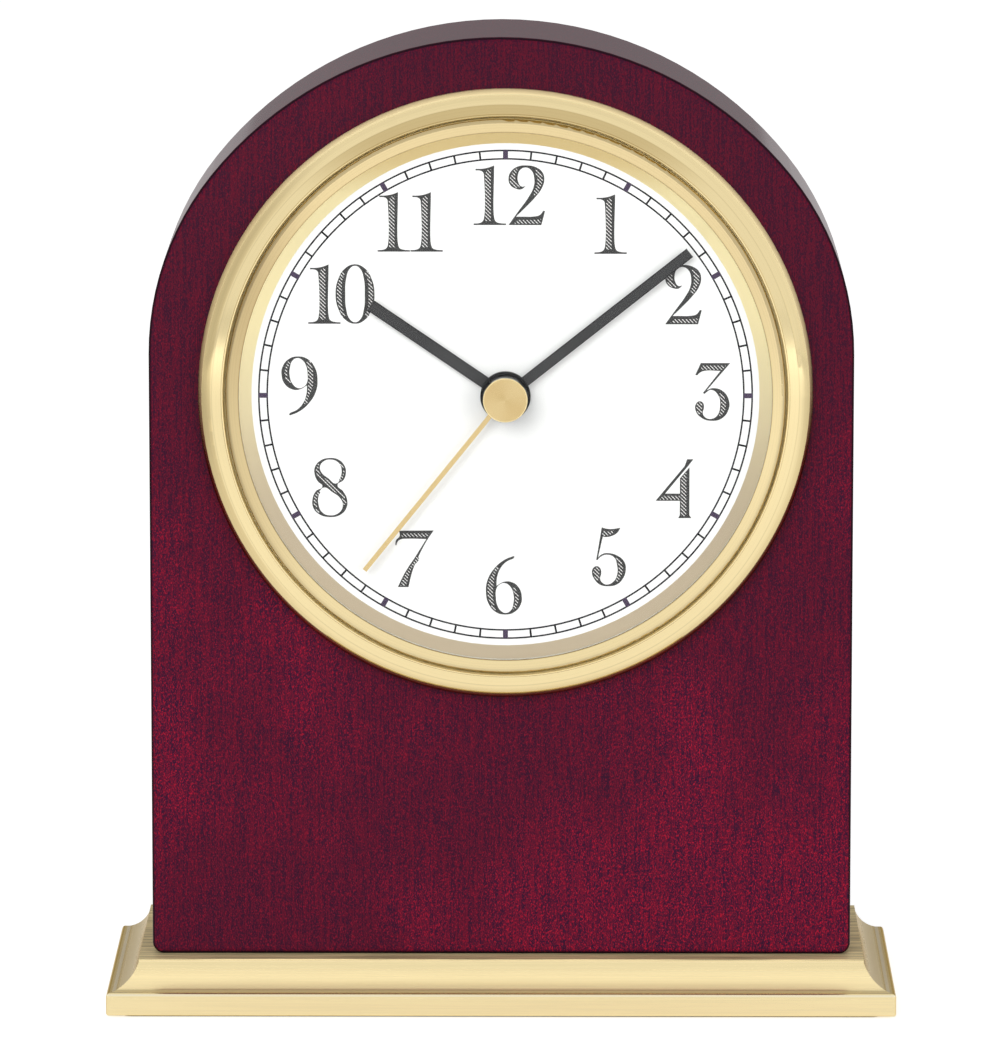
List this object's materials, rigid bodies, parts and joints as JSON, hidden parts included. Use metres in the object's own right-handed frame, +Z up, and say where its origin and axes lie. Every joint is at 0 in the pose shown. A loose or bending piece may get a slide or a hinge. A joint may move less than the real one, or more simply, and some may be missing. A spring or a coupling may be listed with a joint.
{
  "type": "desk clock",
  "caption": "Arched wooden desk clock with a stepped gold bezel, white numbered dial, domed crystal and quartz movement, standing on a moulded metal base.",
  "frame": {"origin": "on the table, under the middle of the base", "axes": "+X to the right as the dial is read, +Y from the front to the back, +Z up"},
  "size_m": [0.1522, 0.0608, 0.1886],
  "materials": {
    "case_wood": "gloss lacquer over dark red stain",
    "gold_brass": "polished gold tone",
    "steel": "plain",
    "felt": "felt",
    "crystal_glass": "clear polished",
    "clear_rubber": "translucent",
    "dial_white": "matt white",
    "black_plastic": "fine texture",
    "black_rubber": "matt",
    "hand_grey": "satin dark grey",
    "second_gold": "satin gold tone",
    "wheel_plastic": "moulded acetal",
    "brass": "turned",
    "magnet": "sintered",
    "soft_iron": "stamped",
    "bobbin_plastic": "moulded",
    "copper_wire": "enamelled copper",
    "board_green": "solder mask",
    "movement_plastic": "moulded",
    "battery_jacket": "plain jacket",
    "contact_nickel": "nickel plated"
  },
  "bodies": {
    "case": {"wood_case": "case_wood", "base_plinth": "gold_brass", "base_screws": "steel", "base_washers": "steel", "felt_pad": "felt", "bezel_outer_ring": "gold_brass", "bezel_inner_ring": "gold_brass", "crystal": "crystal_glass", "crystal_gasket": "clear_rubber", "reflector_ring": "gold_brass", "dial_plate": "dial_white", "insert_housing": "black_plastic", "grip_band": "black_rubber", "movement_front_shell": "movement_plastic", "movement_back_shell": "movement_plastic", "middle_plate": "movement_plastic", "shell_screws": "steel", "battery": "battery_jacket", "positive_contact": "contact_nickel", "negative_contact": "contact_nickel", "circuit_board": "board_green", "driver_chip": "black_plastic", "quartz_can": "steel", "stator": "soft_iron", "coil_core": "soft_iron", "coil_bobbin": "bobbin_plastic", "coil_winding": "copper_wire"},
    "hour_group": {"hour_hand": "hand_grey", "hour_wheel": "wheel_plastic"},
    "minute_group": {"minute_hand": "hand_grey", "cannon_pinion": "brass"},
    "second_group": {"second_hand": "second_gold", "second_hand_cap": "second_gold", "second_wheel": "wheel_plastic"},
    "motion_group": {"motion_wheel": "wheel_plastic"},
    "setting_group": {"setting_arbor": "wheel_plastic", "setting_knob": "black_plastic"},
    "centre_group": {"centre_wheel": "wheel_plastic"},
    "third_group": {"third_wheel": "wheel_plastic"},
    "intermediate_group": {"intermediate_wheel": "wheel_plastic"},
    "rotor_group": {"rotor_pinion": "wheel_plastic", "rotor_magnet": "magnet"},
    "cover_group": {"rear_cover": "black_plastic"}
  },
  "joints": [
    {"name": "second_hand_turn", "type": "hinge", "parent": "case", "child": "second_group", "pos_m": [0.0008, -0.0197, 0.1201], "axis": [0, 1, 0], "continuous": true},
    {"name": "minute_hand_turn", "type": "hinge", "parent": "case", "child": "minute_group", "pos_m": [0.0008, -0.0197, 0.1201], "axis": [0, 1, 0], "continuous": true},
    {"name": "hour_hand_turn", "type": "hinge", "parent": "case", "child": "hour_group", "pos_m": [0.0008, -0.0197, 0.1201], "axis": [0, 1, 0], "continuous": true},
    {"name": "motion_wheel_turn", "type": "hinge", "parent": "case", "child": "motion_group", "pos_m": [0.00911, -0.0197, 0.1249], "axis": [0, 1, 0], "continuous": true},
    {"name": "setting_knob_turn", "type": "hinge", "parent": "case", "child": "setting_group", "pos_m": [0.01975, -0.0197, 0.12677], "axis": [0, 1, 0], "continuous": true},
    {"name": "third_wheel_turn", "type": "hinge", "parent": "case", "child": "third_group", "pos_m": [-0.00719, -0.0197, 0.12301], "axis": [0, 1, 0], "continuous": true},
    {"name": "centre_wheel_turn", "type": "hinge", "parent": "case", "child": "centre_group", "pos_m": [0.0008, -0.0197, 0.1201], "axis": [0, 1, 0], "continuous": true},
    {"name": "intermediate_wheel_turn", "type": "hinge", "parent": "case", "child": "intermediate_group", "pos_m": [0.0008, -0.0197, 0.1291], "axis": [0, 1, 0], "continuous": true},
    {"name": "rotor_turn", "type": "hinge", "parent": "case", "child": "rotor_group", "pos_m": [0.00465, -0.0197, 0.13577], "axis": [0, 1, 0], "continuous": true},
    {"name": "rear_cover_pull", "type": "slide", "parent": "case", "child": "cover_group", "axis": [0, 1, 0], "range_m": [0, 0.012]}
  ],
  "couplings": [
    {"joint": "motion_wheel_turn", "follows": "minute_hand_turn", "ratio": -0.33333},
    {"joint": "hour_hand_turn", "follows": "minute_hand_turn", "ratio": 0.083333},
    {"joint": "setting_knob_turn", "follows": "minute_hand_turn", "ratio": 0.66667},
    {"joint": "third_wheel_turn", "follows": "second_hand_turn", "ratio": -0.13333},
    {"joint": "centre_wheel_turn", "follows": "second_hand_turn", "ratio": 0.016667},
    {"joint": "intermediate_wheel_turn", "follows": "second_hand_turn", "ratio": -5},
    {"joint": "rotor_turn", "follows": "second_hand_turn", "ratio": 30}
  ]
}
